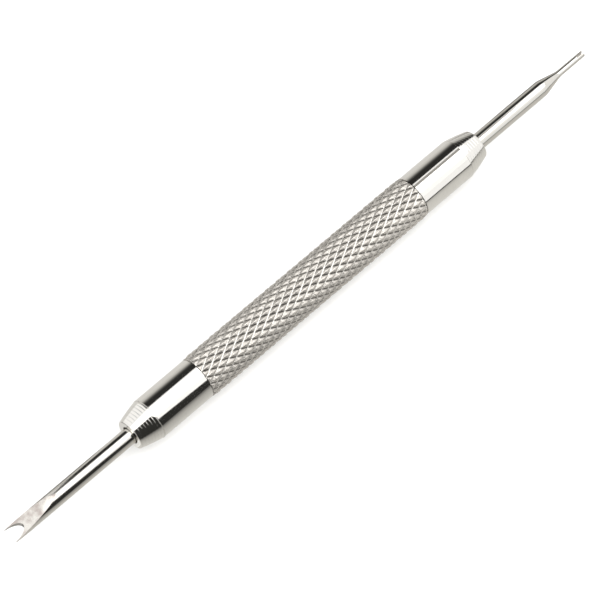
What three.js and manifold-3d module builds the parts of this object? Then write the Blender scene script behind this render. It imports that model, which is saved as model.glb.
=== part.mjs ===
// Spring bar tool: a double-ended chuck handle for watchmakers. A knurled sleeve sits on a threaded core. A cap
// screws on each end of the core and closes a split collet on the shank of a tip: a wide fork at one end and a
// fine fork at the other. Each end is built pointing along +X with its sizes counted from the tool's middle, and
// the wide fork's end is then turned half round. Millimetres, +Z up, lying on its side.

import * as THREE from 'three';
import { mergeVertices } from 'three/addons/utils/BufferGeometryUtils.js';
import Module from 'manifold-3d';

const wasm = await Module();
wasm.setup();

// Driving sizes, as distances along the axis from the tool's middle, and radii.
const OVERALL_LENGTH = 135;
const HANDLE_LENGTH = 81.5;
const GRIP_LENGTH = 50.5;
const NOSE_LENGTH = 4.3;
const SHANK_RADIUS = 1.5;
const CAP_RADIUS = 3.875;

// Diamond knurl: starts of each hand round the sleeve, and crests of one row along it.
const KNURL_CREST_RADIUS = 4.05;
const KNURL_ROOT_RADIUS = 3.75;
const KNURL_STARTS = 18;
const KNURL_PERIODS = 19.5;

// Right-hand thread between the core and a cap.
const THREAD_PITCH = 0.75;
const THREAD_CREST_RADIUS = 2.85;
const THREAD_ROOT_RADIUS = 2.43;
const THREAD_PLAY = 0.1;
const THREAD_START = 25.5;
const CORE_END = 31;

// Fits: play of a turned piece in its hole, and the gap left between faces that rest on each other.
const SLIDING_PLAY = 0.03;
const CONE_PLAY = 0.06;
const SEAT_GAP = 0.05;
const TURNED_SIDES = 24;

// Core and its blind sockets.
const CORE_RADIUS = 2.9;
const CORE_BODY_END = 24.7;
const THREAD_RELIEF_RADIUS = 2.3;
const SPIGOT_RADIUS = 2;
const SPIGOT_SOCKET_BOTTOM = 26.9;
const SHANK_SOCKET_RADIUS = 1.6;
const SHANK_SOCKET_BOTTOM = 24;
const DRILL_POINT = 0.8;

// Cap: bore, collet chamber, closing cone and front hole.
const CAP_BORE_END = 31.4;
const CAP_RELIEF_END = 32;
const CHAMBER_RADIUS = 2.45;
const CLOSING_CONE_START = 37.7;
const CLOSING_CONE_END = 40.2;
const CLOSING_CONE_RADIUS = 1.9;
const FRONT_HOLE_RADIUS = 1.7;
const NOSE_BASE_RADIUS = 3.8;
const NOSE_RIM_RADIUS = 2.85;
const NOSE_LIP = 0.25;
const RING_COUNT = 7;
const RING_DEPTH = 0.12;

// Collet: four jaws, split by two saw cuts.
const JAW_RADIUS = CHAMBER_RADIUS - CONE_PLAY;
const COLLET_FRONT = 39.9;
const COLLET_COLLAR = CORE_END + SEAT_GAP;
const SAW_CUT = 0.35;
const SAW_CUT_START = 33.2;
const JAW_PLANES = 2;

// Tips. A shank's tail stands just clear of the bottom of its socket.
const TAIL_END = SHANK_SOCKET_BOTTOM + 0.3;
const TAIL_CHAMFER = 0.2;
const FORK_GRIND_LENGTH = 10.1;
const FORK_EDGE_THICKNESS = 0.25;
const FORK_NOTCH_DEPTH = 2.8;
const FORK_NOTCH_HALF_WIDTH = 1.41;
const NOTCH_POINTS = 20;
const FINE_SHANK_LENGTH = 16.4;
const FINE_TAPER_LENGTH = 4.2;
const FINE_RADIUS = 0.6;
const FINE_CHAMFER = 0.08;
const FINE_SLOT_WIDTH = 0.45;
const FINE_SLOT_DEPTH = 1.6;

const GRIP_END = GRIP_LENGTH / 2;
const NOSE_FRONT = HANDLE_LENGTH / 2;
const NOSE_BASE = NOSE_FRONT - NOSE_LENGTH;
const TIP_END = OVERALL_LENGTH / 2;
// The knurl lies on a flat between two rows of crests, so the axis is a little lower than the crest radius.
const AXIS_HEIGHT = KNURL_CREST_RADIUS * Math.cos(Math.PI / (2 * KNURL_STARTS));

// A turned solid. The outline is a list of [distance along the axis, radius] with the material on its right when
// walked from the tail to the front, and it starts and ends on the axis or closes on itself.
function turned(outline) {
  const points = outline.map(([along, radius]) => new THREE.Vector2(radius, along));
  return new THREE.LatheGeometry(points, TURNED_SIDES).rotateZ(-Math.PI / 2);
}

function closedOutline(outline) {
  return [...outline, outline[0]];
}

function toManifold(geometry) {
  const bare = geometry.clone();
  bare.deleteAttribute('normal');
  bare.deleteAttribute('uv');
  const merged = mergeVertices(bare, 1e-5);
  const triVerts = [];
  for (let i = 0; i < merged.index.count; i += 3) {
    const [a, b, c] = [0, 1, 2].map((k) => merged.index.getX(i + k));
    if (a !== b && b !== c && c !== a) triVerts.push(a, b, c);
  }
  return new wasm.Manifold(new wasm.Mesh({
    numProp: 3,
    vertProperties: new Float32Array(merged.attributes.position.array),
    triVerts: new Uint32Array(triVerts),
  }));
}

function toGeometry(manifold) {
  const { vertProperties, triVerts } = manifold.getMesh();
  const geometry = new THREE.BufferGeometry();
  geometry.setAttribute('position', new THREE.BufferAttribute(vertProperties, 3));
  geometry.setIndex(new THREE.BufferAttribute(triVerts, 1));
  return geometry;
}

function fromTriangles(positions, triangles) {
  const geometry = new THREE.BufferGeometry();
  geometry.setAttribute('position', new THREE.Float32BufferAttribute(positions.flat(), 3));
  geometry.setIndex(triangles.flat());
  return geometry;
}

function onCircle(along, radius, angle) {
  return [along, radius * Math.cos(angle), radius * Math.sin(angle)];
}

// Knurled sleeve: rings of points round the tube, alternately crest and root, so that the roots form the two
// hands of groove. The first and last rings lie at the root, which bevels the ends, and two rings make the bore.
function knurledSleeve() {
  const columns = 2 * KNURL_STARTS;
  const rows = 2 * KNURL_PERIODS;
  const rings = [];
  for (let row = 0; row <= rows; row += 1) {
    const onEnd = row === 0 || row === rows;
    const along = -GRIP_END + (row * GRIP_LENGTH) / rows;
    rings.push({ along, radius: (column) => {
      return onEnd || (row + column) % 2 === 0 ? KNURL_ROOT_RADIUS : KNURL_CREST_RADIUS;
    } });
  }
  const boreRadius = CORE_RADIUS + SLIDING_PLAY;
  rings.push({ along: GRIP_END, radius: () => boreRadius });
  rings.push({ along: -GRIP_END, radius: () => boreRadius });

  const positions = [];
  for (const ring of rings) {
    for (let column = 0; column < columns; column += 1) {
      const angle = ((column + 0.5) * 2 * Math.PI) / columns;
      positions.push(onCircle(ring.along, ring.radius(column), angle));
    }
  }
  const triangles = [];
  for (let row = 0; row < rings.length; row += 1) {
    for (let column = 0; column < columns; column += 1) {
      const nextRow = (row + 1) % rings.length;
      const nextColumn = (column + 1) % columns;
      const a = row * columns + column;
      const b = row * columns + nextColumn;
      const c = nextRow * columns + nextColumn;
      const d = nextRow * columns + column;
      if ((row + column) % 2 === 0) triangles.push([a, b, c], [a, c, d]);
      else triangles.push([a, b, d], [b, c, d]);
    }
  }
  return fromTriangles(positions, triangles);
}

// A rod with a right-hand V thread, longer than the stretch it is used for. One helix of crest points and one of
// root points, half a pitch further on, are joined by strips, and each end is a fan to a point on the axis. Every
// rod starts at a whole number of pitches, so that a screw and its nut are in step.
function threadedRod(crestRadius, rootRadius, from, to) {
  const turns = Math.ceil((to - from) / THREAD_PITCH) + 3;
  const steps = turns * TURNED_SIDES;
  const start = (Math.floor(from / THREAD_PITCH) - 1) * THREAD_PITCH;
  const positions = [];
  for (let step = 0; step <= steps; step += 1) {
    const along = start + (step * THREAD_PITCH) / TURNED_SIDES;
    const angle = (step * 2 * Math.PI) / TURNED_SIDES;
    positions.push(onCircle(along, crestRadius, angle));
    positions.push(onCircle(along + THREAD_PITCH / 2, rootRadius, angle));
  }
  const crest = (step) => 2 * step;
  const root = (step) => 2 * step + 1;
  const triangles = [];
  const strip = (lower, upper) => {
    triangles.push([lower[0], lower[1], upper[1]], [lower[0], upper[1], upper[0]]);
  };
  for (let step = 0; step < steps; step += 1) {
    strip([crest(step), crest(step + 1)], [root(step), root(step + 1)]);
    const above = step + TURNED_SIDES;
    if (above < steps) strip([root(step), root(step + 1)], [crest(above), crest(above + 1)]);
  }
  const tail = positions.push([start, 0, 0]) - 1;
  const front = positions.push([start + turns * THREAD_PITCH, 0, 0]) - 1;
  const last = steps - TURNED_SIDES;
  for (let step = 0; step < TURNED_SIDES; step += 1) {
    triangles.push([tail, crest(step + 1), crest(step)]);
    triangles.push([front, root(last + step), root(last + step + 1)]);
  }
  triangles.push([tail, root(0), crest(TURNED_SIDES)], [tail, crest(0), root(0)]);
  triangles.push([front, crest(steps), root(last)], [front, root(steps), crest(steps)]);
  return toManifold(fromTriangles(positions, triangles));
}

// What a die takes off one end of the core: a tube round the thread's length, less the threaded rod.
function dieCut() {
  const sleeve = toManifold(turned(closedOutline([
    [THREAD_START - SEAT_GAP, THREAD_RELIEF_RADIUS],
    [THREAD_START - SEAT_GAP, CORE_RADIUS + 1],
    [CORE_END + 1, CORE_RADIUS + 1],
    [CORE_END + 1, THREAD_RELIEF_RADIUS],
  ])));
  return sleeve.subtract(threadedRod(THREAD_CREST_RADIUS, THREAD_ROOT_RADIUS, THREAD_START, CORE_END));
}

function threadedCore() {
  const chamfer = THREAD_CREST_RADIUS - THREAD_ROOT_RADIUS;
  const half = [
    [SHANK_SOCKET_BOTTOM - DRILL_POINT, 0],
    [SHANK_SOCKET_BOTTOM, SHANK_SOCKET_RADIUS],
    [SPIGOT_SOCKET_BOTTOM, SHANK_SOCKET_RADIUS],
    [SPIGOT_SOCKET_BOTTOM, SPIGOT_RADIUS + SLIDING_PLAY],
    [CORE_END, SPIGOT_RADIUS + SLIDING_PLAY],
    [CORE_END, THREAD_CREST_RADIUS - chamfer],
    [CORE_END - chamfer, THREAD_CREST_RADIUS],
    [THREAD_START, THREAD_CREST_RADIUS],
    [THREAD_START, THREAD_RELIEF_RADIUS],
    [CORE_BODY_END, THREAD_RELIEF_RADIUS],
    [CORE_BODY_END, CORE_RADIUS],
  ];
  const mirrored = half.map(([along, radius]) => [-along, radius]);
  const blank = toManifold(turned([...mirrored, ...half.reverse()]));
  const cut = dieCut();
  return toGeometry(blank.subtract(cut).subtract(cut.rotate([0, 0, 180])));
}

// The nose's outside, from the barrel to the rim: a slightly bulged cone with V rings cut round it.
function nosePoint(share, depth) {
  const bulged = share ** 1.3;
  const along = NOSE_BASE + share * (NOSE_LENGTH - NOSE_LIP);
  return [along, NOSE_BASE_RADIUS + (NOSE_RIM_RADIUS - NOSE_BASE_RADIUS) * bulged - depth];
}

function noseOutline() {
  const outline = [];
  for (let ring = 0; ring < RING_COUNT; ring += 1) {
    outline.push(nosePoint(ring / RING_COUNT, RING_DEPTH));
    outline.push(nosePoint((ring + 0.5) / RING_COUNT, 0));
  }
  outline.push(nosePoint(1, RING_DEPTH / 2));
  outline.push([NOSE_FRONT - NOSE_LIP / 3, NOSE_RIM_RADIUS - NOSE_LIP / 2]);
  outline.push([NOSE_FRONT, NOSE_RIM_RADIUS - NOSE_LIP]);
  return outline;
}

function cap() {
  const rear = GRIP_END + SEAT_GAP;
  const edge = 0.15;
  const crestRadius = THREAD_CREST_RADIUS + THREAD_PLAY;
  const rootRadius = THREAD_ROOT_RADIUS + THREAD_PLAY;
  const blank = toManifold(turned(closedOutline([
    [rear, CORE_RADIUS + edge],
    [rear, CAP_RADIUS - edge],
    [rear + edge, CAP_RADIUS],
    [NOSE_BASE - edge, CAP_RADIUS],
    ...noseOutline(),
    [NOSE_FRONT, FRONT_HOLE_RADIUS],
    [CLOSING_CONE_END, FRONT_HOLE_RADIUS],
    [CLOSING_CONE_END, CLOSING_CONE_RADIUS],
    [CLOSING_CONE_START, CHAMBER_RADIUS],
    [CAP_RELIEF_END, CHAMBER_RADIUS],
    [CAP_RELIEF_END, crestRadius],
    [CAP_BORE_END, crestRadius],
    [CAP_BORE_END, rootRadius],
    [rear + 3 * edge, rootRadius],
  ])));
  const tap = threadedRod(crestRadius, rootRadius, GRIP_END, CAP_RELIEF_END);
  const reach = toManifold(turned([
    [GRIP_END - 1, 0],
    [GRIP_END - 1, CORE_RADIUS + edge],
    [CAP_RELIEF_END - edge, CORE_RADIUS + edge],
    [CAP_RELIEF_END - edge, 0],
  ]));
  return toGeometry(blank.subtract(tap.intersect(reach)));
}

function collet() {
  const coneRadius = JAW_RADIUS - (COLLET_FRONT - CLOSING_CONE_START)
    * (CHAMBER_RADIUS - CLOSING_CONE_RADIUS) / (CLOSING_CONE_END - CLOSING_CONE_START);
  const bore = SHANK_RADIUS + SLIDING_PLAY;
  const blank = toManifold(turned(closedOutline([
    [SPIGOT_SOCKET_BOTTOM + SEAT_GAP, bore],
    [SPIGOT_SOCKET_BOTTOM + SEAT_GAP, SPIGOT_RADIUS],
    [COLLET_COLLAR, SPIGOT_RADIUS],
    [COLLET_COLLAR, JAW_RADIUS],
    [CLOSING_CONE_START, JAW_RADIUS],
    [COLLET_FRONT, coneRadius],
    [COLLET_FRONT, bore],
  ])));
  const cutLength = COLLET_FRONT + 1 - SAW_CUT_START;
  const saw = new THREE.BoxGeometry(cutLength, 3 * JAW_RADIUS, SAW_CUT);
  saw.translate(SAW_CUT_START + cutLength / 2, 0, 0).rotateX(Math.PI / (2 * JAW_PLANES));
  let split = blank;
  for (let plane = 0; plane < JAW_PLANES; plane += 1) {
    split = split.subtract(toManifold(saw));
    saw.rotateX(Math.PI / JAW_PLANES);
  }
  return toGeometry(split);
}

function shankTail() {
  return [
    [TAIL_END, 0],
    [TAIL_END, SHANK_RADIUS - TAIL_CHAMFER],
    [TAIL_END + TAIL_CHAMFER, SHANK_RADIUS],
  ];
}

// Wide fork: the shank is ground flat from above and below towards a thin edge, and a round-bottomed notch is
// cut in from the end, which leaves two sharp prongs.
function forkTip() {
  let solid = toManifold(turned([...shankTail(), [TIP_END, SHANK_RADIUS], [TIP_END, 0]]));
  const edge = FORK_EDGE_THICKNESS / 2;
  const grindStart = TIP_END - FORK_GRIND_LENGTH;
  const beyond = 1;
  const slope = (SHANK_RADIUS - edge) / FORK_GRIND_LENGTH;
  for (const side of [1, -1]) {
    const ground = new THREE.Shape([
      new THREE.Vector2(grindStart - beyond, side * (SHANK_RADIUS + slope * beyond)),
      new THREE.Vector2(TIP_END + beyond, side * (edge - slope * beyond)),
      new THREE.Vector2(TIP_END + beyond, side * (SHANK_RADIUS + beyond)),
      new THREE.Vector2(grindStart - beyond, side * (SHANK_RADIUS + beyond)),
    ]);
    const wedge = new THREE.ExtrudeGeometry(ground, { depth: 4 * SHANK_RADIUS, bevelEnabled: false });
    wedge.translate(0, 0, -2 * SHANK_RADIUS).rotateX(Math.PI / 2);
    solid = solid.subtract(toManifold(wedge));
  }
  const notch = new THREE.Shape();
  notch.moveTo(TIP_END + beyond, -FORK_NOTCH_HALF_WIDTH);
  for (let i = 0; i <= NOTCH_POINTS; i += 1) {
    const angle = -Math.PI / 2 + (i * Math.PI) / NOTCH_POINTS;
    notch.lineTo(TIP_END - FORK_NOTCH_DEPTH * Math.cos(angle), FORK_NOTCH_HALF_WIDTH * Math.sin(angle));
  }
  notch.lineTo(TIP_END + beyond, FORK_NOTCH_HALF_WIDTH);
  const punch = new THREE.ExtrudeGeometry(notch, { depth: 4 * SHANK_RADIUS, bevelEnabled: false });
  punch.translate(0, 0, -2 * SHANK_RADIUS);
  return toGeometry(solid.subtract(toManifold(punch)));
}

// Fine fork: the shank tapers to a thin stem with a narrow slot sawn in its end.
function fineTip() {
  const taperStart = NOSE_FRONT + FINE_SHANK_LENGTH;
  const stem = toManifold(turned([
    ...shankTail(),
    [taperStart, SHANK_RADIUS],
    [taperStart + FINE_TAPER_LENGTH, FINE_RADIUS],
    [TIP_END - FINE_CHAMFER, FINE_RADIUS],
    [TIP_END, FINE_RADIUS - FINE_CHAMFER],
    [TIP_END, 0],
  ]));
  const slot = new THREE.BoxGeometry(2 * FINE_SLOT_DEPTH, FINE_SLOT_WIDTH, 4 * FINE_RADIUS);
  slot.translate(TIP_END, 0, 0);
  return toGeometry(stem.subtract(toManifold(slot)));
}

const bright = { metalness: 1, flatShading: true };
const nickelPlate = { ...bright, color: 0xd6d4ce, roughness: 0.16 };
const knurledPlate = { ...bright, color: 0xc9c6bf, roughness: 0.3 };
const brass = { ...bright, color: 0xc9a35a, roughness: 0.35 };
const turnedSteel = { ...bright, color: 0xb4b4b2, roughness: 0.4 };
const polishedSteel = { ...bright, color: 0xcfcecb, roughness: 0.2 };

function piece(name, geometry, finish) {
  const mesh = new THREE.Mesh(geometry, new THREE.MeshStandardMaterial(finish));
  mesh.name = name;
  return mesh;
}

const grip = new THREE.Group();
grip.add(piece('knurled_sleeve', knurledSleeve(), knurledPlate));
grip.add(piece('threaded_core', threadedCore(), turnedSteel));

const fineEnd = new THREE.Group();
fineEnd.add(piece('fine_cap', cap(), nickelPlate));
fineEnd.add(piece('fine_collet', collet(), brass));
fineEnd.add(piece('fine_tip', fineTip(), polishedSteel));

const forkEnd = new THREE.Group();
forkEnd.rotation.z = Math.PI;
forkEnd.add(piece('fork_cap', cap(), nickelPlate));
forkEnd.add(piece('fork_collet', collet(), brass));
forkEnd.add(piece('fork_tip', forkTip(), polishedSteel));

const tool = new THREE.Group();
tool.position.z = AXIS_HEIGHT;
tool.add(grip, forkEnd, fineEnd);

export default tool;
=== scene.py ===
from math import ceil, cos, pi, radians, sin, sqrt

import bmesh
import bpy
from mathutils import Matrix, Vector


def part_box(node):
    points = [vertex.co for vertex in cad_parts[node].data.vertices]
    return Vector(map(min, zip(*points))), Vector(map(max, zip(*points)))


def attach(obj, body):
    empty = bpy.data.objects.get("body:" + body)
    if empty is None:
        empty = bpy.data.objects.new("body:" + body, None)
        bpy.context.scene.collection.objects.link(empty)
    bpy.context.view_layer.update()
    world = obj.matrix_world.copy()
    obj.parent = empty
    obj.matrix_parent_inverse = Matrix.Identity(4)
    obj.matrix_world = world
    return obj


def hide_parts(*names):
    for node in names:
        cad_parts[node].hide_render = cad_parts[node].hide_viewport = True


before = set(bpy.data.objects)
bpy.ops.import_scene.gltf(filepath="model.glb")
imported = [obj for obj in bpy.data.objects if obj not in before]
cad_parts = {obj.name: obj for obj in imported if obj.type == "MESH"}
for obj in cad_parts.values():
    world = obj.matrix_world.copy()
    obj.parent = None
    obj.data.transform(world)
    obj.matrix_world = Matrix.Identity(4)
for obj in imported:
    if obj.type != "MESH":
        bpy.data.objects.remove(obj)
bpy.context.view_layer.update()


# --- Knurled sleeve -------------------------------------------------------------------------------
# The grip: a brass tube rolled with a diamond knurl of eighteen starts each way, bevelled at both ends
# and nickel plated. It is pressed on the threaded core. One hand of groove has a flat bottom, the other
# a V.

class Wire:
    """A number, colour, vector or mesh on its way through a node tree. Sums and products add Math nodes."""

    def __init__(self, tree, socket=None):
        self.tree = tree
        self.socket = socket

    def node(self, kind, settings=None, sockets=None, out=0):
        made = self.tree.nodes.new(kind)
        for name, value in (settings or {}).items():
            setattr(made, name, value)
        for name, value in (sockets or {}).items():
            if isinstance(value, Wire):
                self.tree.links.new(value.socket, made.inputs[name])
            else:
                made.inputs[name].default_value = value
        return Wire(self.tree, made.outputs[out])

    def math(self, operation, *values):
        return self.node("ShaderNodeMath", {"operation": operation}, dict(enumerate((self, *values))))

    def times(self, vector):
        return self.node("ShaderNodeVectorMath", {"operation": "MULTIPLY"}, {0: self, 1: vector})

    def part(self, axis):
        return self.node("ShaderNodeSeparateXYZ", None, {0: self}, axis)

    def point(self, x, y, z):
        return self.node("ShaderNodeCombineXYZ", None, {0: x, 1: y, 2: z})

    def colours(self, first, second):
        """The first colour where this wire is 0, and the second where it is 1."""
        return self.node("ShaderNodeMix", {"data_type": "RGBA"}, {0: self, 6: first, 7: second}, 2)

    def __add__(self, other):
        return self.math("ADD", other)

    def __sub__(self, other):
        return self.math("SUBTRACT", other)

    def __rsub__(self, other):
        return self.math("MULTIPLY", -1.0).math("ADD", other)

    def __mul__(self, other):
        return self.math("MULTIPLY", other)

    def __truediv__(self, other):
        return self.math("DIVIDE", other)

    __radd__ = __add__
    __rmul__ = __mul__


def open_tree(name, sizes, counts=()):
    """A Geometry Nodes tree with named inputs, and one wire for each of them."""
    tree = bpy.data.node_groups.new(name, "GeometryNodeTree")
    sockets = [("Mesh", "NodeSocketGeometry")]
    sockets += [(size, "NodeSocketFloat") for size in sizes]
    sockets += [(count, "NodeSocketInt") for count in counts]
    sockets += [("Finish", "NodeSocketMaterial")]
    for label, kind in sockets:
        tree.interface.new_socket(label, in_out="INPUT", socket_type=kind)
    tree.interface.new_socket("Mesh", in_out="OUTPUT", socket_type="NodeSocketGeometry")
    entry = tree.nodes.new("NodeGroupInput")
    return tree, {label: Wire(tree, entry.outputs[label]) for label, _ in sockets}


def close_tree(tree, mesh, finish):
    smooth = mesh.node("GeometryNodeSetShadeSmooth", None, {"Geometry": mesh})
    whole = mesh.node("GeometryNodeRealizeInstances", None, {"Geometry": smooth})
    coated = mesh.node("GeometryNodeSetMaterial", None, {"Geometry": whole, "Material": finish})
    tree.links.new(coated.socket, tree.nodes.new("NodeGroupOutput").inputs[0])


def evaluated(raw):
    """The object's mesh with its modifiers applied. The object itself is thrown away."""
    bpy.context.view_layer.update()
    seen = raw.evaluated_get(bpy.context.evaluated_depsgraph_get())
    mesh = bpy.data.meshes.new_from_object(seen)
    bpy.data.objects.remove(raw)
    return mesh


def bench(mesh):
    """A passing object to work a mesh on."""
    raw = bpy.data.objects.new("workpiece", mesh)
    bpy.context.scene.collection.objects.link(raw)
    return raw


def shaped(mesh, tree, values):
    """The mesh after one pass through a Geometry Nodes tree."""
    raw = bench(mesh)
    pass_through = raw.modifiers.new("shape", "NODES")
    pass_through.node_group = tree
    for item in tree.interface.items_tree:
        if item.in_out == "INPUT" and item.name in values:
            pass_through[item.identifier] = values[item.name]
    return evaluated(raw)


low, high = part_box("threaded_core")
AXIS_HEIGHT = (low.z + high.z) / 2
MM = 0.001


def settle(name, mesh, body, crease=35, half_turn=False):
    """Puts a finished mesh, made in millimetres about the X axis, in its place on the tool."""
    turn = Matrix.Rotation(pi if half_turn else 0, 4, "Z")
    mesh.transform(Matrix.Translation((0, 0, AXIS_HEIGHT)) @ turn @ Matrix.Scale(MM, 4))
    mesh.set_sharp_from_angle(angle=radians(crease))
    mesh.name = name
    made = bpy.data.objects.new(name, mesh)
    bpy.context.scene.collection.objects.link(made)
    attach(made, body)
    return made


def metal(name, colour, grime_and_shade, roughness, rings=0.0, draw=0.0, cloud=0.06, grime_and_shade_amount=0.8, stain=None,
          floor_highlight=None, metallic=1.0, pits=0.15):
    """Bare or plated metal. Its grooves, where the attribute cut nears 1, are darkened towards a given
    colour: grime together with painted shade. Rings are the depth in micrometres of turning marks, draw that
    of lengthwise lines, and pits that of small dents. Stain is the colour of its duller patches. The last
    colour given, for the flat bottoms of a knurl, is lighter than the rest: a painted highlight."""
    material = bpy.data.materials.new(name)
    material.use_nodes = True
    tree = material.node_tree
    tree.nodes.clear()
    place = Wire(tree).node("ShaderNodeTexCoord", out="Object")
    place = place.node("ShaderNodeMapping", None, {
        "Vector": place,
        "Location": (0, 0, -AXIS_HEIGHT / MM),
        "Scale": (1 / MM, 1 / MM, 1 / MM),
    })
    cut = place.node("ShaderNodeAttribute", {"attribute_name": "cut"}, out="Fac")
    fog = place.node("ShaderNodeTexNoise", None, {
        "Vector": place, "Scale": 0.55, "Detail": 6.0, "Roughness": 0.62,
    })
    speck = place.node("ShaderNodeTexNoise", None, {
        "Vector": place, "Scale": 5.0, "Detail": 3.0, "Roughness": 0.55,
    })
    ringed = place.node("ShaderNodeTexNoise", None, {
        "Vector": place.times((9.0, 0.25, 0.25)), "Scale": 1.0, "Detail": 4.0, "Roughness": 0.7,
    })
    drawn = place.node("ShaderNodeTexNoise", None, {
        "Vector": place.times((0.35, 11.0, 11.0)), "Scale": 1.0, "Detail": 4.0, "Roughness": 0.7,
    })
    # Painted shade with grime: the colour darkens towards the bottoms of the grooves.
    grime_and_shade_mask = cut * (0.55 + speck * 0.9) * grime_and_shade_amount
    if stain:
        dull = (fog - 0.47) * 5.0 + (speck - 0.5) * 1.5 + 0.4
    else:
        dull = fog * 0.9 + speck * 0.35 - 0.45
    tone = dull.colours(colour, stain or tuple(0.86 * part for part in colour[:3]) + (1,))
    # Painted highlight: the flat bottoms of a knurl's grooves get a lighter colour, and they are also made
    # smoother.
    if floor_highlight:
        sunk = place.node("ShaderNodeAttribute", {"attribute_name": "sunk"}, out="Fac")
        flat = (((sunk - 0.9) * 10.0).math("MAXIMUM", 0.0) - cut * 2.0).math("MAXIMUM", 0.0)
        tone = flat.colours(tone, floor_highlight)
    tone = grime_and_shade_mask.colours(tone, grime_and_shade)
    height = ringed * rings + drawn * draw + speck * pits
    bump = height.node("ShaderNodeBump", None, {"Height": height, "Strength": 1.0, "Distance": 1e-6},
                       "Normal")
    shine = roughness + (fog - 0.5) * cloud * 2 + (speck - 0.5) * cloud + cut * 0.12
    if floor_highlight:
        shine = shine - flat * 0.22
    shader = tree.nodes.new("ShaderNodeBsdfPrincipled")
    shader.inputs["Metallic"].default_value = metallic
    tree.links.new(tone.socket, shader.inputs["Base Color"])
    tree.links.new(shine.math("MAXIMUM", 0.04).socket, shader.inputs["Roughness"])
    tree.links.new(bump.socket, shader.inputs["Normal"])
    tree.links.new(shader.outputs[0], tree.nodes.new("ShaderNodeOutputMaterial").inputs[0])
    return material


GRIP_LENGTH = 50.5
KNURL_CREST_RADIUS = 4.039
KNURL_ROOT_RADIUS = 3.75
KNURL_STARTS = 18
KNURL_ROWS = 40
KNURL_END_RADIUS = 3.9
KNURL_BEVEL = 0.8
KNURL_FLAT_SHARE = 0.07
KNURL_TOP_SHARE = 0.74
GRIP_BORE_RADIUS = 2.93
GRIP_CREASE = 42
TILE_STEPS = 10

# One raised diamond is a small square of mesh, a unit wide in u and v. Its height falls to nothing at
# its edges: over the flat's width before the u edges, and right at the v edges. It is set down at every
# second point of a net of rows and columns, turned by 45 degrees, and the net is then wrapped round the
# sleeve.
knurl, size = open_tree(
    "diamond_knurl",
    ("Length", "Crest radius", "Root radius", "End radius", "Flat", "Top", "Bevel"),
    ("Rows", "Columns"),
)
tile = size["Rows"].node("GeometryNodeMeshGrid", None, {
    "Size X": 1.0, "Size Y": 1.0, "Vertices X": TILE_STEPS + 1, "Vertices Y": TILE_STEPS + 1,
})
spot = tile.node("GeometryNodeInputPosition")
flat_edge = 0.5 - size["Flat"] * 0.5
wide = spot.part(0).math("ABSOLUTE")
inner = 0.5 - 1 / TILE_STEPS
spread = wide.math("MINIMUM", inner) * flat_edge / inner
spread = spread + (wide - inner).math("MAXIMUM", 0.0) * (0.5 - flat_edge) * TILE_STEPS
spread = spread * spot.part(0).math("SIGN")
tile = tile.node("GeometryNodeSetPosition", None, {
    "Geometry": tile, "Position": spot.point(spread, spot.part(1), 0.0),
})
from_flat = (flat_edge - spot.part(0).math("ABSOLUTE")) / flat_edge
from_vee = 1.0 - spot.part(1).math("ABSOLUTE") * 2.0
rise = from_flat.math("MAXIMUM", 0.0).math("SMOOTH_MIN", from_vee, 0.08)
rise = rise.math("SMOOTH_MIN", size["Top"], 0.1) / size["Top"]
tile = tile.node("GeometryNodeStoreNamedAttribute", {"data_type": "FLOAT", "domain": "POINT"}, {
    "Geometry": tile, "Name": "sunk", "Value": 1.0 - rise,
})
# The bottoms of the V grooves, which the finish darkens almost to black: painted shade with grime.
in_vee = (1.0 - from_vee * 2.8).math("MAXIMUM", 0.0) * from_flat.math("GREATER_THAN", 0.02)
tile = tile.node("GeometryNodeStoreNamedAttribute", {"data_type": "FLOAT", "domain": "POINT"}, {
    "Geometry": tile, "Name": "cut", "Value": in_vee,
})
net = tile.node("GeometryNodeMeshGrid", None, {
    "Size X": size["Rows"] - 1.0, "Size Y": size["Columns"] - 1.0,
    "Vertices X": size["Rows"], "Vertices Y": size["Columns"],
})
count = spot.part(0) + spot.part(1) + (size["Rows"] + size["Columns"] - 2.0) * 0.5
odd = (count + 0.25).math("FLOORED_MODULO", 2.0).math("GREATER_THAN", 1.0)
field = net.node("GeometryNodeInstanceOnPoints", None, {
    "Points": net, "Selection": odd, "Instance": tile, "Rotation": (0, 0, pi / 4), "Scale": (sqrt(2),) * 3,
})
field = field.node("GeometryNodeRealizeInstances", None, {"Geometry": field})
along = spot.part(0) * size["Length"] / (size["Rows"] - 1.0)
angle = (spot.part(1) + size["Columns"] * 0.5) * (2 * pi) / size["Columns"]
sunk = field.node("GeometryNodeInputNamedAttribute", {"data_type": "FLOAT"}, {"Name": "sunk"})
radius = size["Crest radius"] - (size["Crest radius"] - size["Root radius"]) * sunk
to_end = size["Length"] * 0.5 - along.math("ABSOLUTE")
slope = (size["Crest radius"] - size["End radius"]) / size["Bevel"]
radius = radius.math("MINIMUM", size["End radius"] + to_end * slope)
field = field.node("GeometryNodeSetPosition", None, {
    "Geometry": field,
    "Position": spot.point(along, radius * angle.math("COSINE"), radius * angle.math("SINE")),
})
field = field.node("GeometryNodeMergeByDistance", None, {"Geometry": field, "Distance": 0.003})
close_tree(knurl, field, size["Finish"])

# Its V groove bottoms are darkened almost to black: painted shade with grime. Its flat groove bottoms get a
# lighter colour: a painted highlight.
knurled_nickel = metal("knurled_nickel", (0.57, 0.54, 0.497, 1), (0.015, 0.013, 0.011, 1), 0.26, cloud=0.07,
                       grime_and_shade_amount=1.0, floor_highlight=(0.80, 0.775, 0.73, 1), metallic=0.82, pits=70.0)
rolled = shaped(bpy.data.meshes.new("blank"), knurl, {
    "Length": GRIP_LENGTH, "Crest radius": KNURL_CREST_RADIUS, "Root radius": KNURL_ROOT_RADIUS,
    "End radius": KNURL_END_RADIUS, "Flat": KNURL_FLAT_SHARE, "Top": KNURL_TOP_SHARE, "Bevel": KNURL_BEVEL,
    "Rows": KNURL_ROWS, "Columns": 2 * KNURL_STARTS, "Finish": knurled_nickel,
})


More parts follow.
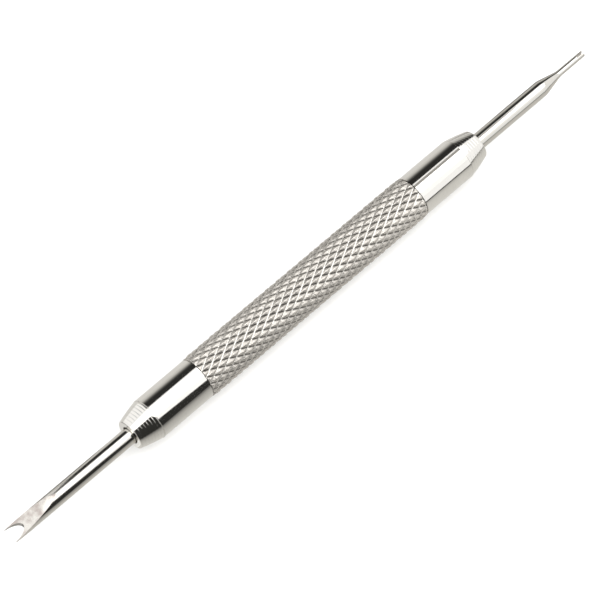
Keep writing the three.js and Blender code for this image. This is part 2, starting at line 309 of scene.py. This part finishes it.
def bored(mesh, half_length, bore_radius, finish, sides=96):
    """Faces a rolled tube square at both ends and gives it end faces and a bore, all in one finish."""
    work = bmesh.new()
    work.from_mesh(mesh)
    rims = []
    for end in (-1, 1):
        everything = work.verts[:] + work.edges[:] + work.faces[:]
        bmesh.ops.bisect_plane(work, geom=everything, dist=1e-5, plane_co=(end * half_length, 0, 0),
                               plane_no=(end, 0, 0), clear_outer=True)
        edge_loop = [e for e in work.edges if e.is_boundary and e.verts[0].co.x * end > half_length - 0.01]
        rim = []
        for step in range(sides):
            turn = 2 * pi * step / sides
            rim.append(work.verts.new((end * half_length, bore_radius * cos(turn), bore_radius * sin(turn))))
        edge_loop += [work.edges.new((rim[step - 1], rim[step])) for step in range(sides)]
        bmesh.ops.triangle_fill(work, edges=edge_loop, use_beauty=True, normal=(end, 0, 0))
        rims.append(rim)
    for step in range(sides):
        work.faces.new((rims[0][step - 1], rims[0][step], rims[1][step], rims[1][step - 1])).smooth = True
    bmesh.ops.recalc_face_normals(work, faces=work.faces)
    for face in work.faces:
        face.material_index = 0
    work.to_mesh(mesh)
    work.free()
    mesh.materials.clear()
    mesh.materials.append(finish)
    return mesh


faced = bored(rolled, GRIP_LENGTH / 2, GRIP_BORE_RADIUS, knurled_nickel)
sleeve = settle("knurled_grip", faced, "handle", GRIP_CREASE)
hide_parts("knurled_sleeve")


# --- Threaded core --------------------------------------------------------------------------------
# The steel rod inside the sleeve. Each end has a die-cut right-hand thread for a cap, a thread relief
# behind it, and a drilled socket that holds the collet's spigot and the tail of a tip's shank.

def rounded(outline, steps=4):
    """An outline of (along, radius) points. A third number is the size of a fillet put on that corner."""
    points = []
    for index, corner in enumerate(outline):
        here = Vector(corner[:2])
        if len(corner) < 3:
            points.append(tuple(here))
            continue
        before = Vector(outline[index - 1][:2])
        after = Vector(outline[(index + 1) % len(outline)][:2])
        first = here + (before - here).normalized() * corner[2]
        last = here + (after - here).normalized() * corner[2]
        for step in range(steps + 1):
            share = step / steps
            bend = first.lerp(here, share).lerp(here.lerp(last, share), share)
            points.append(tuple(bend))
    return points


def rows_between(first, last, step):
    """Points from first to last, not counting last, close enough for a groove to be cut in them."""
    first, last = Vector(first), Vector(last)
    count = ceil((last - first).length / step)
    return [tuple(first.lerp(last, index / count)) for index in range(count)]


def turned(outline, sides=128):
    """Spins an outline about the X axis. One that starts on the axis is a rod, any other closes as a tube."""
    work = bmesh.new()
    rings = []
    for along, radius in outline:
        if radius == 0:
            rings.append([work.verts.new((along, 0, 0))] * sides)
            continue
        turns = [2 * pi * step / sides for step in range(sides)]
        rings.append([work.verts.new((along, radius * cos(turn), radius * sin(turn))) for turn in turns])
    if outline[0][1] > 0:
        rings.append(rings[0])
    for near, far in zip(rings, rings[1:]):
        for step in range(sides):
            corners = dict.fromkeys((near[step - 1], near[step], far[step], far[step - 1]))
            work.faces.new(list(corners)).smooth = True
    bmesh.ops.recalc_face_normals(work, faces=work.faces)
    mesh = bpy.data.meshes.new("turned")
    work.to_mesh(mesh)
    work.free()
    return mesh


# A pass of the lathe that cuts V grooves between two distances along the axis and two radii. With a lead
# they run as a screw thread, and with none they are rings. A wave of 1 is on a crest and 0 at the bottom
# of a groove.
grooves, size = open_tree("vee_grooves", (
    "From", "To", "Inside", "Outside", "Start", "Pitch", "Lead", "Steepness",
    "Outward", "Inward", "Lowest", "Highest",
))
spot = size["Mesh"].node("GeometryNodeInputPosition")
end = spot.part(0).math("SIGN")
along = spot.part(0) * end
radius = (spot.part(1) * spot.part(1) + spot.part(2) * spot.part(2)).math("SQRT")
turn = spot.part(2).math("ARCTAN2", spot.part(1) * end) / (2 * pi)
phase = (along - size["Start"] - size["Lead"] * turn) / size["Pitch"]
wave = (phase.math("FRACT") - 0.5).math("ABSOLUTE") * 2.0 * size["Steepness"] - 0.12
wave = wave.math("MAXIMUM", 0.0).math("MINIMUM", 1.0)
new_radius = radius + size["Outward"] * wave - size["Inward"] * (1.0 - wave)
new_radius = new_radius.math("MAXIMUM", size["Lowest"]).math("MINIMUM", size["Highest"])
chosen = along.math("GREATER_THAN", size["From"]) * along.math("LESS_THAN", size["To"])
chosen = chosen * radius.math("GREATER_THAN", size["Inside"]) * radius.math("LESS_THAN", size["Outside"])
marked = size["Mesh"].node("GeometryNodeStoreNamedAttribute", {"data_type": "FLOAT", "domain": "POINT"}, {
    "Geometry": size["Mesh"], "Name": "cut", "Value": chosen * (1.0 - wave),
})
scale = new_radius / radius.math("MAXIMUM", 0.001)
bent = marked.node("GeometryNodeSetPosition", None, {
    "Geometry": marked, "Selection": chosen,
    "Position": spot.point(spot.part(0), spot.part(1) * scale, spot.part(2) * scale),
})
close_tree(grooves, bent, size["Finish"])

THREAD_PITCH = 0.75
THREAD_CREST_RADIUS = 2.85
THREAD_ROOT_RADIUS = 2.43
THREAD_START = 25.5
THREAD_STEEPNESS = 1.2
CORE_END = 31.0
CORE_RADIUS = 2.9
RELIEF_START = 24.7
RELIEF_RADIUS = 2.3
LEAD_IN = 0.3
SOCKET_BOTTOM = 26.9
SOCKET_RADIUS = 2.03
DRILL_RADIUS = 1.6
THREAD_ROW = THREAD_PITCH / 20
THREAD_DEPTH = THREAD_CREST_RADIUS - THREAD_ROOT_RADIUS

crest_start = (THREAD_START + LEAD_IN, THREAD_CREST_RADIUS)
crest_end = (CORE_END - THREAD_DEPTH, THREAD_CREST_RADIUS)
rod_face = (CORE_END, THREAD_ROOT_RADIUS)
core_end = rounded([
    (RELIEF_START, CORE_RADIUS, 0.1), (RELIEF_START, RELIEF_RADIUS), (THREAD_START, RELIEF_RADIUS),
    (THREAD_START, THREAD_CREST_RADIUS - LEAD_IN),
])
core_end += rows_between(crest_start, crest_end, THREAD_ROW)
core_end += rows_between(crest_end, rod_face, THREAD_ROW)
core_end += [
    rod_face, (CORE_END, SOCKET_RADIUS), (SOCKET_BOTTOM, SOCKET_RADIUS), (SOCKET_BOTTOM, DRILL_RADIUS),
    (24, DRILL_RADIUS), (23.2, 0),
]
core_outline = [(-along, radius) for along, radius in reversed(core_end)] + core_end

turned_steel = metal("turned_steel", (0.56, 0.55, 0.53, 1), (0.10, 0.09, 0.08, 1), 0.32, rings=1.6)
core = settle("threaded_rod", shaped(turned(core_outline, 96), grooves, {
    "From": THREAD_START + 0.01, "To": CORE_END - 0.01, "Inside": 2.2, "Outside": CORE_RADIUS,
    "Start": 0.0, "Pitch": THREAD_PITCH, "Lead": THREAD_PITCH, "Steepness": THREAD_STEEPNESS,
    "Outward": 0.0, "Inward": THREAD_DEPTH,
    "Lowest": THREAD_ROOT_RADIUS, "Highest": THREAD_CREST_RADIUS, "Finish": turned_steel,
}), "handle")
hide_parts("threaded_core")


# --- Screw caps -----------------------------------------------------------------------------------
# Two like caps of nickel-plated brass. Each is a polished barrel with a coned nose, and rings are cut
# round the nose so that fingers can turn it. Inside are the thread and the cone that squeezes the collet
# shut.

CAP_REAR = 25.3
CAP_RADIUS = 3.875
NOSE_BASE = 36.45
NOSE_FRONT = 40.75
NOSE_LENGTH = 4.05
NOSE_ROWS = 126
RING_PITCH = NOSE_LENGTH / 7
RING_DEPTH = 0.016
RING_STEEPNESS = 6.0
THREAD_PLAY = 0.1
BORE_RADIUS = THREAD_ROOT_RADIUS + THREAD_PLAY
THREADED_BORE_RADIUS = BORE_RADIUS + THREAD_DEPTH
BORE_END = 31.4
CHAMBER_START = 32.0
CHAMBER_RADIUS = 2.45
CHAMBER_END = 37.7
CONE_END = 40.2
CONE_END_RADIUS = 1.9
FRONT_HOLE_RADIUS = 1.7


def nose_radius(share):
    """The nose's outer radius at a share of its length. It curves in a little towards the front."""
    return 3.8 - 0.95 * share ** 1.3


cap_outline = rounded([(CAP_REAR, CAP_RADIUS, 0.14), (NOSE_BASE - 0.02, CAP_RADIUS, 0.09)])
cap_outline += [(NOSE_BASE + NOSE_LENGTH * row / NOSE_ROWS, nose_radius(row / NOSE_ROWS))
                for row in range(NOSE_ROWS + 1)]
cap_outline += rounded([
    (NOSE_FRONT - 0.22, 2.84), (NOSE_FRONT, 2.78, 0.16), (NOSE_FRONT, FRONT_HOLE_RADIUS, 0.08),
    (CONE_END, FRONT_HOLE_RADIUS),
])[1:]
cap_outline += [
    (CONE_END, CONE_END_RADIUS), (CHAMBER_END, CHAMBER_RADIUS), (CHAMBER_START, CHAMBER_RADIUS),
    (CHAMBER_START, THREADED_BORE_RADIUS), (BORE_END, THREADED_BORE_RADIUS),
]
cap_outline += rows_between((BORE_END, BORE_RADIUS), (CAP_REAR + 0.5, BORE_RADIUS), THREAD_ROW)
cap_outline += [(CAP_REAR + 0.5, BORE_RADIUS), (CAP_REAR + 0.1, 3.0), (CAP_REAR, 3.1)]

bright_nickel = metal("bright_nickel", (0.83, 0.81, 0.77, 1), (0.12, 0.105, 0.09, 1), 0.075, rings=0.5,
                      draw=0.25, cloud=0.035, grime_and_shade_amount=0.08)


def screw_cap():
    """One cap, with its nose rings cut first and its thread tapped second."""
    ringed = shaped(turned(cap_outline), grooves, {
        "From": NOSE_BASE - 0.01, "To": NOSE_BASE + NOSE_LENGTH + 0.01, "Inside": 2.6, "Outside": 3.85,
        "Start": NOSE_BASE + RING_PITCH / 2, "Pitch": RING_PITCH, "Lead": 0.0, "Steepness": RING_STEEPNESS,
        "Outward": 0.0, "Inward": RING_DEPTH, "Lowest": 0.0, "Highest": 4.0, "Finish": bright_nickel,
    })
    return tapped(ringed)


def tapped(mesh):
    """Cuts the cap's inside thread and keeps the marks that the nose rings left."""
    kept = [value.value for value in mesh.attributes["cut"].data]
    threaded = shaped(mesh, grooves, {
        "From": CAP_REAR + 0.2, "To": BORE_END - 0.005, "Inside": 2.4, "Outside": 2.6, "Start": 0.0,
        "Pitch": THREAD_PITCH, "Lead": THREAD_PITCH, "Steepness": THREAD_STEEPNESS,
        "Outward": THREAD_DEPTH, "Inward": 0.0,
        "Lowest": 0.0, "Highest": THREADED_BORE_RADIUS, "Finish": bright_nickel,
    })
    marks = threaded.attributes["cut"].data
    for mark, old in zip(marks, kept):
        mark.value = max(mark.value, old)
    return threaded


for end_name, half_turn in (("fork", True), ("fine", False)):
    cap = settle(f"{end_name}_screw_cap", screw_cap(), f"{end_name}_cap", 30, half_turn)
    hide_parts(f"{end_name}_cap")


# --- Collets --------------------------------------------------------------------------------------
# Two like split collets of brass, one inside each cap. A spigot stands in the core, a collar rests on
# the core's end, and four jaws made by two saw cuts are squeezed on the tip's shank by the cap's cone.

JAW_RADIUS = 2.39
COLLET_FRONT = 39.9
COLLET_BORE = 1.53
SAW_WIDTH = 0.35
SAW_START = 33.2
collet_outline = rounded([
    (26.95, COLLET_BORE), (26.95, 2.0, 0.15), (31.05, 2.0), (31.05, JAW_RADIUS, 0.1), (37.7, JAW_RADIUS, 0.3),
    (COLLET_FRONT, 1.84, 0.12), (COLLET_FRONT, COLLET_BORE),
])


def cut_away(mesh, tools):
    """Takes each tool mesh out of the mesh. The new faces keep the tools' material."""
    raw = bench(mesh)
    held = [bench(tool) for tool in tools]
    for tool in held:
        step = raw.modifiers.new("cut", "BOOLEAN")
        step.solver = "EXACT"
        step.operation = "DIFFERENCE"
        step.material_mode = "TRANSFER"
        step.object = tool
    made = evaluated(raw)
    for tool in held:
        bpy.data.objects.remove(tool)
    return made


def block(low_corner, high_corner, finish):
    """A squared tool mesh between two corners."""
    work = bmesh.new()
    bmesh.ops.create_cube(work, size=1)
    middle = (Vector(low_corner) + Vector(high_corner)) / 2
    edges = Vector(high_corner) - Vector(low_corner)
    placed = Matrix.Translation(middle) @ Matrix.Diagonal((*edges, 1))
    bmesh.ops.transform(work, matrix=placed, verts=work.verts)
    mesh = bpy.data.meshes.new("tool")
    work.to_mesh(mesh)
    work.free()
    mesh.materials.append(finish)
    return mesh


turned_brass = metal("turned_brass", (0.72, 0.50, 0.20, 1), (0.16, 0.10, 0.04, 1), 0.25, rings=1.2)
sawn_brass = metal("sawn_brass", (0.60, 0.42, 0.18, 1), (0.16, 0.10, 0.04, 1), 0.42, draw=1.8)
for end_name, half_turn in (("fork", True), ("fine", False)):
    blank = turned(collet_outline, 96)
    blank.materials.append(turned_brass)
    saws = []
    for plane in (1, 3):
        saw = block((SAW_START, -4, -SAW_WIDTH / 2), (COLLET_FRONT + 1, 4, SAW_WIDTH / 2), sawn_brass)
        saw.transform(Matrix.Rotation(plane * pi / 4, 4, "X"))
        saws.append(saw)
    split = settle(f"{end_name}_split_collet", cut_away(blank, saws), f"{end_name}_chuck", 35,
                   half_turn)
    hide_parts(f"{end_name}_collet")


# --- Wide fork tip --------------------------------------------------------------------------------
# A hardened steel rod. Its end is ground flat from above and below to a thin edge, and a round-bottomed
# notch is ground in from the end, which leaves two sharp prongs that catch a spring bar's shoulder.

SHANK_RADIUS = 1.5
TAIL_END = 24.3
TIP_END = 67.5
GRIND_LENGTH = 10.1
EDGE_THICKNESS = 0.25
NOTCH_DEPTH = 2.8
NOTCH_HALF_WIDTH = 1.41
NOTCH_STEPS = 48

polished_steel = metal("polished_steel", (0.69, 0.668, 0.625, 1), (0.12, 0.11, 0.10, 1), 0.11, rings=0.25,
                       draw=0.35, cloud=0.04)
ground_steel = metal("ground_steel", (0.61, 0.59, 0.55, 1), (0.3, 0.24, 0.2, 1), 0.28, rings=2.5, cloud=0.1,
                     stain=(0.40, 0.355, 0.33, 1))
# The notch's walls get a dark colour of their own: painted shade.
shaded_notch_steel = metal("shaded_notch_steel", (0.26, 0.25, 0.23, 1), (0.12, 0.10, 0.08, 1), 0.34, draw=1.5,
                      cloud=0.1)


def prism(outline, low_side, high_side, axis, finish):
    """A tool mesh: an outline of (along, across) points, given depth between two sides on an axis."""
    def lifted(point, depth):
        across, up = (point[1], depth) if axis == "Z" else (depth, point[1])
        return point[0], across, up
    work = bmesh.new()
    floor_ring = [work.verts.new(lifted(point, low_side)) for point in outline]
    roof_ring = [work.verts.new(lifted(point, high_side)) for point in outline]
    work.faces.new(floor_ring)
    work.faces.new(roof_ring)
    for step in range(len(outline)):
        work.faces.new((floor_ring[step - 1], floor_ring[step], roof_ring[step], roof_ring[step - 1]))
    bmesh.ops.recalc_face_normals(work, faces=work.faces)
    mesh = bpy.data.meshes.new("tool")
    work.to_mesh(mesh)
    work.free()
    mesh.materials.append(finish)
    for face in mesh.polygons:
        face.use_smooth = True
    return mesh


fork_blank = turned(rounded([(TAIL_END, 0), (TAIL_END, SHANK_RADIUS, 0.25), (TIP_END, SHANK_RADIUS),
                             (TIP_END, 0)]))
fork_blank.materials.append(polished_steel)
grind_start = TIP_END - GRIND_LENGTH
grind_slope = (SHANK_RADIUS - EDGE_THICKNESS / 2) / GRIND_LENGTH
wheels = []
for side in (1, -1):
    wheels.append(prism([
        (grind_start - 1, side * (SHANK_RADIUS + grind_slope)),
        (TIP_END + 1, side * (EDGE_THICKNESS / 2 - grind_slope)),
        (TIP_END + 1, side * (SHANK_RADIUS + 1)),
        (grind_start - 1, side * (SHANK_RADIUS + 1)),
    ], -3, 3, "Y", ground_steel))
notch = [(TIP_END + 1, -NOTCH_HALF_WIDTH)]
for step in range(NOTCH_STEPS + 1):
    turn = -pi / 2 + pi * step / NOTCH_STEPS
    notch.append((TIP_END - NOTCH_DEPTH * cos(turn), NOTCH_HALF_WIDTH * sin(turn)))
notch.append((TIP_END + 1, NOTCH_HALF_WIDTH))
wheels.append(prism(notch, -3, 3, "Z", shaded_notch_steel))
fork = settle("wide_fork", cut_away(fork_blank, wheels), "fork_tip", 25, True)
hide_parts("fork_tip")


# --- Fine fork tip --------------------------------------------------------------------------------
# A hardened steel rod tapered by turning to a thin stem. A narrow slot sawn in the end makes two fine
# prongs for the small holes of a drilled lug.

TAPER_START = 57.15
TAPER_LENGTH = 4.2
STEM_RADIUS = 0.6
SLOT_WIDTH = 0.45
SLOT_DEPTH = 1.6
fine_blank = turned(rounded([
    (TAIL_END, 0), (TAIL_END, SHANK_RADIUS, 0.25), (TAPER_START, SHANK_RADIUS, 0.5),
    (TAPER_START + TAPER_LENGTH, STEM_RADIUS, 0.5), (TIP_END, STEM_RADIUS, 0.09), (TIP_END, 0),
]))
fine_blank.materials.append(polished_steel)
slot_saw = block((TIP_END - SLOT_DEPTH, -SLOT_WIDTH / 2, -2), (TIP_END + 1, SLOT_WIDTH / 2, 2), ground_steel)
fine = settle("fine_fork", cut_away(fine_blank, [slot_saw]), "fine_tip", 25)
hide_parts("fine_tip")


# --- Studio ---------------------------------------------------------------------------------------
# A pale table under a wide soft light, with dark cards standing off to both sides so that the bright
# metal has something to mirror. The cards show only in reflections.

def plain(name, colour, strength=None):
    """A flat finish for the studio: paint, or an even glow where strength is given."""
    material = bpy.data.materials.new(name)
    material.use_nodes = True
    material.node_tree.nodes.clear()
    start = Wire(material.node_tree)
    if strength is None:
        shader = start.node("ShaderNodeBsdfDiffuse", None, {"Color": colour})
    else:
        shader = start.node("ShaderNodeEmission", None, {"Color": colour, "Strength": strength})
    output = material.node_tree.nodes.new("ShaderNodeOutputMaterial")
    material.node_tree.links.new(shader.socket, output.inputs["Surface"])
    return material


def sheet_of(name, corners, finish):
    """A flat sheet through the corners, which are in millimetres."""
    mesh = bpy.data.meshes.new(name)
    mesh.from_pydata([tuple(value * MM for value in corner) for corner in corners], [], [range(len(corners))])
    mesh.materials.append(finish)
    made = bpy.data.objects.new(name, mesh)
    bpy.context.scene.collection.objects.link(made)
    return made


def card(name, corners, finish):
    """A sheet that only mirrors see."""
    made = sheet_of(name, corners, finish)
    made.visible_camera = False
    made.visible_diffuse = False
    made.visible_shadow = False
    return made


def graded(name, axis, stops):
    """A card that glows by its place along an axis. Stops are (millimetres, grey) and run upwards."""
    material = bpy.data.materials.new(name)
    material.use_nodes = True
    material.node_tree.nodes.clear()
    place = Wire(material.node_tree).node("ShaderNodeTexCoord", out="Object")
    first, last = stops[0][0], stops[-1][0]
    share = (place.part(axis) / MM - first) / (last - first)
    ramp = share.node("ShaderNodeValToRGB", None, {"Fac": share})
    elements = ramp.socket.node.color_ramp.elements
    while len(elements) < len(stops):
        elements.new(0.5)
    for element, (where, grey) in zip(elements, stops):
        element.position = (where - first) / (last - first)
        element.color = (grey, grey * 0.985, grey * 0.94, 1)
    shader = ramp.node("ShaderNodeEmission", None, {"Color": ramp, "Strength": 1.0})
    output = material.node_tree.nodes.new("ShaderNodeOutputMaterial")
    material.node_tree.links.new(shader.socket, output.inputs["Surface"])
    return material


REACH = 3000
TABLE_HEIGHT = -0.02
table_corners = [(-REACH, -REACH), (REACH, -REACH), (REACH, REACH), (-REACH, REACH)]
sheet_of("table", [(*corner, TABLE_HEIGHT) for corner in table_corners],
         plain("white_table", (0.88, 0.88, 0.87, 1)))

AWAY = 150
card("card_behind", [(-15, AWAY, 0.2), (340, AWAY, 0.2), (340, AWAY, 305), (-15, AWAY, 305)],
     graded("fading_card", 2, [(0, 0.78), (40, 0.62), (70, 0.30), (92, 0.10), (125, 0.03), (305, 0.03)]))
front_outline = [(-400, -1), (300, -1), (300, 12), (60, 14), (33, 18), (36, 57), (40, 83), (34, 90),
                 (18, 145), (-20, 300), (-60, 650), (-400, 650)]
card("card_front", [(along, -AWAY, height) for along, height in front_outline],
     plain("black_card", (0.03, 0.03, 0.028, 1), 1.0))
# Glowing sheets laid just over the table that only mirrors see: a painted reflection of the table in shade.
# In front they darken away from the tool. Behind they are grey, with darker strips close behind it.
card("table_front", [(-300, -AWAY, 0.1), (18, -AWAY, 0.1), (18, -1, 0.1), (-300, -1, 0.1)],
     graded("shaded_table", 1, [(-150, 0.15), (-45, 0.2), (-20, 0.4), (-9, 0.56), (-4, 0.70), (-1, 0.74)]))
card("table_right", [(18, -AWAY, 0.1), (340, -AWAY, 0.1), (340, -1, 0.1), (18, -1, 0.1)],
     graded("pale_table", 1, [(-150, 0.35), (-45, 0.52), (-20, 0.68), (-1, 0.76)]))
card("card_light", [(-350, -750, 500), (550, -750, 500), (550, -331, 500), (-350, -331, 500)],
     plain("white_card", (1.0, 1.0, 1.0, 1), 1.27))
card("table_behind", [(-300, 1, 0.1), (340, 1, 0.1), (340, AWAY, 0.1), (-300, AWAY, 0.1)],
     plain("grey_card", (0.78, 0.77, 0.75, 1), 1.0))
dark_strip = plain("dark_strip", (0.34, 0.335, 0.325, 1), 1.0)
card("strip_left", [(-300, 1, 0.15), (-44, 1, 0.15), (-44, 35, 0.15), (-300, 35, 0.15)], dark_strip)
card("strip_right", [(50, 1, 0.15), (340, 1, 0.15), (340, 35, 0.15), (50, 35, 0.15)], dark_strip)
card("card_above", [(85, 17, 200), (140, 17, 200), (140, 66, 200), (85, 66, 200)],
     plain("dim_card", (0.38, 0.37, 0.35, 1), 1.0))

world = bpy.data.worlds.new("studio")
world.use_nodes = True
background = world.node_tree.nodes["Background"]
background.inputs["Color"].default_value = (1.0, 1.0, 1.0, 1)
background.inputs["Strength"].default_value = 1.13
bpy.context.scene.world = world

lamp = bpy.data.lights.new("soft_light", "AREA")
lamp.shape = "RECTANGLE"
lamp.size = 0.9
lamp.size_y = 0.5
lamp.energy = 1.8
lamp_object = bpy.data.objects.new("soft_light", lamp)
lamp_object.location = (0.1, -0.08, 0.5)
bpy.context.scene.collection.objects.link(lamp_object)

fill = bpy.data.lights.new("fill_light", "AREA")
fill.size = 0.7
fill.energy = 3.0
fill_object = bpy.data.objects.new("fill_light", fill)
fill_object.matrix_world = Matrix.Translation((0.05, -0.6, 0.35)) @ Matrix.Rotation(radians(60), 4, "X")
fill_object.visible_glossy = False
bpy.context.scene.collection.objects.link(fill_object)

back = Vector((-0.3466, -0.3561, 0.8678)).normalized()
right = Vector((-back.y, back.x, 0)).normalized()
up = back.cross(right)
CAMERA_DISTANCE = 0.7
SIDE_SHIFT = -0.00103
DOWN_SHIFT = 0.00222
lens = bpy.data.cameras.new("camera")
lens.lens = 248.3
lens.sensor_width = 36
lens.clip_start = 0.01
lens.clip_end = 20
camera = bpy.data.objects.new("camera", lens)
seat = Vector((0, 0, AXIS_HEIGHT)) + back * CAMERA_DISTANCE + right * SIDE_SHIFT - up * DOWN_SHIFT
facing = Matrix((right, up, back)).transposed().to_4x4()
camera.matrix_world = Matrix.Translation(seat) @ facing
bpy.context.scene.collection.objects.link(camera)
bpy.context.scene.camera = camera
bpy.context.scene.view_settings.view_transform = "Standard"
